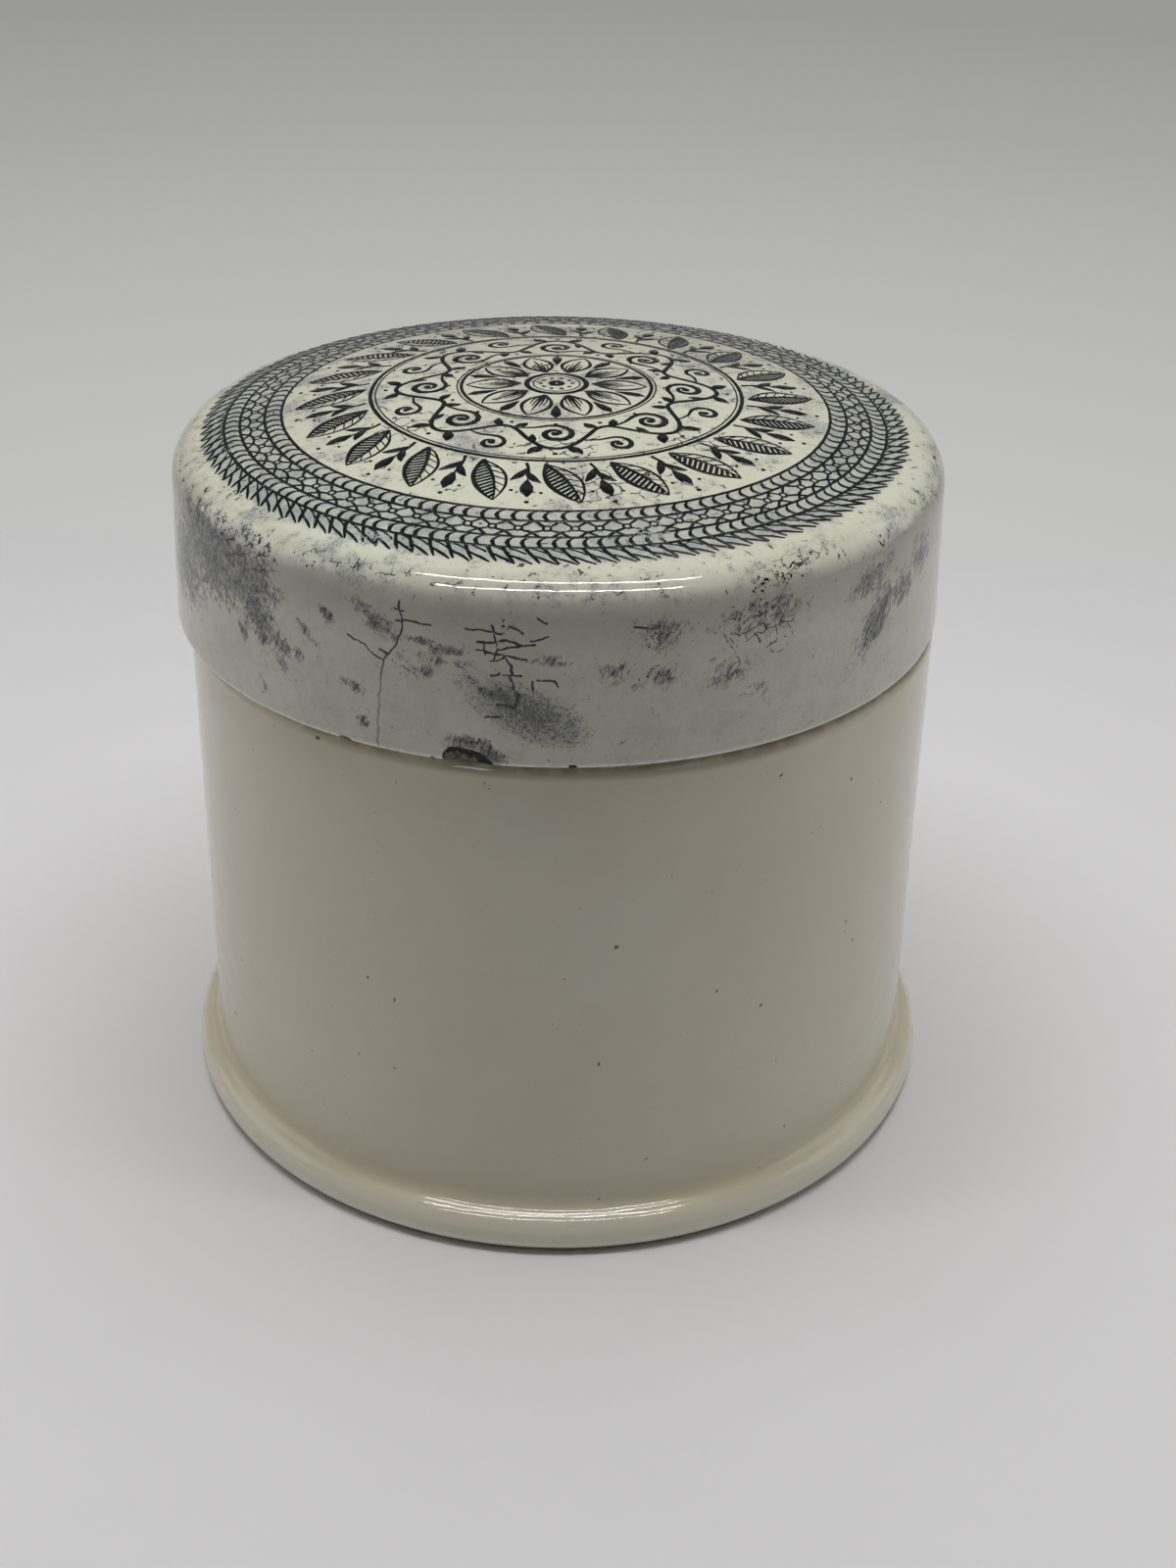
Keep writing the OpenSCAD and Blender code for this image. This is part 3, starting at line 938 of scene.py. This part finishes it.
# One tree sweeps flat strokes into thin ink, repeats them round the print and lays them on the dome
def makeWreathTree():
    kit, given = newTree("printed_wreath", {
        "Int": ["Count", "Seed"],
        "Float": ["Start", "Turn Jitter", "Size Jitter", "Waver", "Weight", "Sway", "Sway From",
                  "Middle X", "Middle Y", "Axis X", "Dome Z", "Dome Radius", "Proud", "Sunk"],
        "Material": ["Ink"]})
    take = given.other
    paths = kit.node("GeometryNodeMeshToCurve", {"Mesh": given})
    block = kit.node("GeometryNodeCurvePrimitiveQuadrilateral", {"Width": 1.0, "Height": 1.0})
    wide = kit.node("GeometryNodeInputNamedAttribute", {"Name": "wide"}, {"data_type": "FLOAT"})
    stroke = kit.node("GeometryNodeCurveToMesh", {
        "Curve": paths, "Profile Curve": block, "Scale": wide * take("Weight"),
        "Fill Caps": True})
    spots = kit.node("GeometryNodePoints", {"Count": take("Count")})
    jitter, grow = [kit.node("FunctionNodeRandomValue", {2: -1.0, 3: 1.0, "Seed": seed},
                             {"data_type": "FLOAT"}, 1)
                    for seed in (take("Seed"), take("Seed") + 1)]
    index = kit.node("GeometryNodeInputIndex")
    turn = index / take("Count") * math.tau + take("Start") + jitter * take("Turn Jitter")
    size = grow * take("Size Jitter") + 1
    placed = kit.node("GeometryNodeInstanceOnPoints", {
        "Points": spots, "Instance": stroke, "Rotation": kit.point(0.0, 0.0, turn),
        "Scale": kit.point(size, size, 1.0)})
    real = kit.node("GeometryNodeRealizeInstances", {"Geometry": placed})
    across, deep, raised = kit.parts(kit.node("GeometryNodeInputPosition"))
    flat = kit.point(across, deep)
    driftX, driftY = kit.parts(kit.noise(flat, 900.0, 1.0, out="Color"))[:2]
    # strokes lean over by turns as they pass this radius, as in hand engraving
    far = kit.length(flat)
    lean = (kit.noise(kit.vector("NORMALIZE", flat), 1.7) - 0.42) * take("Sway")
    bearing = kit.math("ARCTAN2", deep, across) + kit.most(far - take("Sway From"), 0.0) * lean
    x = far * kit.math("COSINE", bearing) + (driftX - 0.5) * take("Waver") + take("Middle X")
    y = far * kit.math("SINE", bearing) + (driftY - 0.5) * take("Waver") + take("Middle Y")
    away = x - take("Axis X")
    dome = take("Dome Z") + kit.math("SQRT", take("Dome Radius") * take("Dome Radius")
                                     - away * away - y * y)
    above = kit.math("GREATER_THAN", raised, 0.0)
    z = dome + above * (take("Proud") + take("Sunk")) - take("Sunk")
    laid = kit.node("GeometryNodeSetPosition", {
        "Geometry": real, "Position": kit.point(x, y, z)})
    return sealTree(kit, laid, take("Ink"))


wreathTree = makeWreathTree()
inkMaterial = makeInk(inkFinish)
printPlace = {"Middle X": printMiddle[0] * mm, "Middle Y": printMiddle[1] * mm,
              "Axis X": lidSize["axisX"] * mm, "Dome Z": domeZ * mm,
              "Dome Radius": lidSize["crown"] * mm,
              # how far the ink stands above the glaze and reaches into it
              "Proud": 0.025 * mm, "Sunk": 0.05 * mm}


def wreath(name, strokes, count, start=0.0, turn=0.0, size=0.0, waver=0.05, seed=1,
           weight=1.0, sway=0.0, swayFrom=0.0):
    # weight thickens the strokes; sway is in degrees for each millimetre beyond swayFrom
    return growMesh(name, strokeMesh(name + "_drawing", strokes), wreathTree, {
        **printPlace, "Count": count, "Start": math.radians(start),
        "Turn Jitter": math.radians(turn), "Size Jitter": size, "Waver": waver * mm,
        "Weight": weight, "Sway": math.radians(sway) / mm, "Sway From": swayFrom * mm,
        "Seed": seed, "Ink": inkMaterial})


def ringStroke(radius, wide, count=360, centre=(0.0, 0.0)):
    return arc(centre, radius, 0, 360, count)[:-1], [wide] * count, True


def polarPath(points):
    # (radius, bearing in degrees) to x, y
    return [turned(r, 0.0, a) for r, a in points]


def curveThrough(a, b, sag, steps):
    # a bowed stroke from a to b, sagging to its left by this much
    dx, dy = b[0] - a[0], b[1] - a[1]
    span = math.hypot(dx, dy)
    points = []
    for i in range(steps + 1):
        t = i / steps
        off = 4 * t * (1 - t) * sag
        points.append((a[0] + dx * t - dy / span * off, a[1] + dy * t + dx / span * off))
    return points


def swell(count, thin, thick):
    return [thin + (thick - thin) * math.sin(math.pi * i / (count - 1)) for i in range(count)]


def tapered(count, start, end):
    return [start + (end - start) * i / (count - 1) for i in range(count)]


borderPrint = {
    "rings": [30.5, 29.03, 26.77, 25.25], "ringWide": 0.27,
    "blades": 122, "bladeBase": 30.5, "bladeTip": 32.62, "bladeWeight": 1.34,
    # name, count, from radius, to radius, seed
    "ropes": [("outer_rope", 148, 29.1, 30.45, 31), ("inner_rope", 122, 25.32, 26.7, 37)],
    "ropeWeight": 1.26,
    "roundels": 79, "roundelAt": 27.78, "roundel": 0.33, "netWeight": 1.45,
}


def makeBorder(b):
    meshes = [wreath(f"ring_{i}", [ringStroke(radius, b["ringWide"])], 1, waver=0.12, seed=5 + i)
              for i, radius in enumerate(b["rings"])]
    # a blade: a dark side that leans over, a fine side above it and another down to the tip
    base, tip, pitch = b["bladeBase"], b["bladeTip"], 360 / b["blades"]
    root, end, upper, meet, split, point = polarPath([
        (base, 0.0), (tip - 0.14, pitch * 0.7), (base + 0.1, pitch * 0.34),
        (base + 0.84, pitch * 1.22), (base + 1.04, pitch * 0.4), (tip, pitch * 1.54)])
    blade = [(curveThrough(root, end, -0.06, 6), [0.28, 0.25, 0.24, 0.24, 0.24, 0.2, 0.12]),
             (curveThrough(upper, meet, 0.07, 4), [0.14, 0.12, 0.12, 0.13, 0.15]),
             (curveThrough(split, point, 0.04, 5), [0.16, 0.17, 0.2, 0.2, 0.17, 0.1])]
    meshes.append(wreath("blades", blade, b["blades"], turn=0.36, size=0.002, waver=0.22,
                         seed=21, weight=b["bladeWeight"], sway=1.6, swayFrom=base))
    # ropes: hooked strokes, thickest where they bulge
    for name, count, low, high, seed in b["ropes"]:
        hook = polarPath([(low + (high - low) * up, 360 / count * along) for up, along in (
            (0.0, 0.5), (0.1, 0.26), (0.32, 0.05), (0.58, 0.0), (0.82, 0.1), (1.0, 0.28))])
        meshes.append(wreath(name, [(hook, [0.09, 0.13, 0.24, 0.33, 0.28, 0.16])], count,
                             turn=0.22, waver=0.14, seed=seed, weight=b["ropeWeight"]))
    # net: roundels joined by lines that cross between them and run on to the rings
    at, ring, p = b["roundelAt"], b["roundel"], 360 / b["roundels"]
    net = [ringStroke(ring, 0.15, 12, (at, 0.0))]
    for hand in (-p, p):
        net += [(polarPath([(at - ring * 0.75, 0.11 * hand), (b["rings"][2] + 0.28, 0.36 * hand),
                            (b["rings"][2], 0.48 * hand)]), [0.14, 0.18, 0.26]),
                (polarPath([(at + ring * 0.72, 0.11 * hand), (at + 0.56, 0.5 * hand),
                            (b["rings"][1], 0.83 * hand)]), [0.14, 0.19, 0.17])]
    meshes.append(wreath("net", net, b["roundels"], turn=0.3, waver=0.24, seed=43,
                         weight=b["netWeight"]))
    return meshes


centrePrint = {
    "leaves": 20, "leafRoot": 17.7, "leafTip": 24.0, "leafLean": 8.0, "hatch": 0.29,
    "waves": 8, "vineAt": 12.9, "vineSwing": 1.9, "petals": 10, "petalTip": 8.3,
    "rings": [(17.1, 0.34), (16.65, 0.13), (9.15, 0.13), (8.75, 0.3)],      # radius, width
    "weight": 1.08,
}


def dot(r, degrees, wide):
    x, y = turned(r, 0.0, degrees)
    return [(x - wide * 0.42, y), (x, y), (x + wide * 0.42, y)], [wide * 0.6, wide, wide * 0.6]


def leafStroke(root, tip, sag, thick):
    return curveThrough(*polarPath([root, tip]), sag, 6), swell(7, 0.1, thick)


def boldLeaf(c):
    # one side closely hatched and dark, the other veined
    root, tip = polarPath([(c["leafRoot"], -c["leafLean"] * 0.3),
                           (c["leafTip"], c["leafLean"] * 0.7)])
    spine, light, dark = [curveThrough(root, tip, sag, 14) for sag in (0.45, 1.55, -1.2)]
    strokes = [(spine, tapered(15, 0.4, 0.12)), (light, swell(15, 0.12, 0.24)),
               (dark, swell(15, 0.16, 0.4))]
    strokes += [([spine[i], dark[i + 1]], [c["hatch"]] * 2) for i in range(1, 13)]
    strokes += [([spine[i], light[i + 2]], [0.14, 0.08]) for i in range(2, 12, 2)]
    return strokes


def sprig(degrees):
    stem = curveThrough(*polarPath([(17.6, degrees - 1.4), (21.0, degrees)]), 0.2, 6)
    bud = polarPath([(20.6, degrees), (21.6, degrees + 0.3), (22.4, degrees + 0.5),
                     (23.2, degrees + 0.8)])
    return [(stem, tapered(7, 0.3, 0.16)), (bud, [0.3, 1.05, 1.0, 0.12]),
            leafStroke((18.6, degrees - 1.0), (20.7, degrees - 4.0), 0.18, 0.72),
            leafStroke((19.0, degrees - 0.7), (20.9, degrees + 3.3), -0.18, 0.72),
            dot(24.0, degrees + 1.0, 0.42), dot(22.3, degrees - 2.9, 0.34),
            dot(22.5, degrees + 3.6, 0.34)]


def vineBay(c):
    half = 180 / c["waves"]
    stem = polarPath([(c["vineAt"] + c["vineSwing"] * math.cos(math.radians(i * 180 / 12)),
                       i * half / 12) for i in range(-12, 13)])
    # each tendril leaves the vine smoothly and curls up in the bay beside it
    inner = [(10.56, -3.74), (10.68, -2.8), (10.64, -1.9), (10.46, -1.2)]
    inner += arc((11.9, 0.0), 1.75, 200, 200 - 360 * 1.35, 18, 0.42 - 1.75)
    outer = [turned(14.55 + dx, dy, half) for dx, dy in ((-1.63, -2.86), (-1.36, -2.15),
                                                         (-1.16, -1.35))]
    outer += arc(turned(14.55, 0.0, half), 1.35, half + 200, half + 200 - 360 * 1.15, 16,
                 0.38 - 1.35)
    return [(stem, [0.4] * 25), (inner, swell(23, 0.16, 0.58)), (outer, swell(20, 0.14, 0.46)),
            dot(11.9, 0.0, 0.8), dot(14.55, half, 0.7),
            leafStroke((14.5, 3.5), (16.0, 8.5), 0.2, 0.95),
            leafStroke((14.5, -3.5), (16.0, -8.5), -0.2, 0.95),
            leafStroke((13.6, -7.5), (12.2, -9.5), 0.1, 0.6),
            leafStroke((11.1, 20.0), (9.9, 14.5), 0.2, 0.8),
            leafStroke((11.1, 25.0), (9.9, 30.5), -0.2, 0.8),
            dot(15.75, 0.0, 0.45), dot(10.15, 22.5, 0.4), dot(9.9, 0.0, 0.36)]


def petal(c):
    root, tip = (3.3, 0.0), (c["petalTip"], 0.0)
    strokes = [(curveThrough(root, tip, sag, 12), swell(13, 0.14, 0.34)) for sag in (1.28, -1.28)]
    strokes.append(([root, (7.2, 0.0)], [0.42, 0.1]))
    for side in (0.28, 0.56, -0.28, -0.56):
        ray = curveThrough(root, (6.6 - abs(side) * 1.6, side * 1.1), side * 0.5, 5)
        strokes.append((ray, tapered(6, 0.26, 0.08)))
    return strokes


def makeCentre(c):
    leaves, petals, weight = c["leaves"], c["petals"], c["weight"]
    sepal = [(5.7, 0.0), (6.9, 0.0), (7.8, 0.0), (8.5, 0.0)], [0.14, 0.85, 0.95, 0.12]
    eye = [ringStroke(2.75, 0.5, 60), ringStroke(2.15, 0.13, 60), ringStroke(0.45, 0.62, 20)]
    return [
        wreath("bold_leaves", boldLeaf(c) + sprig(180 / leaves + 2.4), leaves, turn=0.3,
               waver=0.16, seed=51, weight=weight),
        *[wreath("thin_ring", [ringStroke(*ring)], 1, waver=0.1, seed=57, weight=weight)
          for ring in c["rings"]],
        wreath("vine", vineBay(c), c["waves"], waver=0.14, seed=61, weight=weight),
        wreath("petals", petal(c), petals, turn=0.3, waver=0.1, seed=71, weight=weight),
        wreath("sepals", [sepal], petals, start=180.0 / petals, waver=0.06, seed=73),
        wreath("eye", eye, 1, waver=0.06),
        wreath("eye_dots", [dot(1.45, 0.0, 0.42)], 10, seed=77)]


def joined(name, meshes):
    pieces = [newObject(f"{name}_{i}", mesh) for i, mesh in enumerate(meshes)]
    with bpy.context.temp_override(active_object=pieces[0], selected_editable_objects=pieces):
        bpy.ops.object.join()
    pieces[0].name = pieces[0].data.name = name
    return pieces[0]


borderInk = joined("border_print", makeBorder(borderPrint))
centreInk = joined("centre_print", makeCentre(centrePrint))
print("print laid:", len(borderInk.data.polygons), "and", len(centreInk.data.polygons), "faces")

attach(glazedPot, "pot_body")
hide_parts("pot")
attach(glazedLid, "lid_body")
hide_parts("lid")
for piece in (borderInk, centreInk):
    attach(piece, "lid_body")

scene.view_settings.view_transform = "Standard"
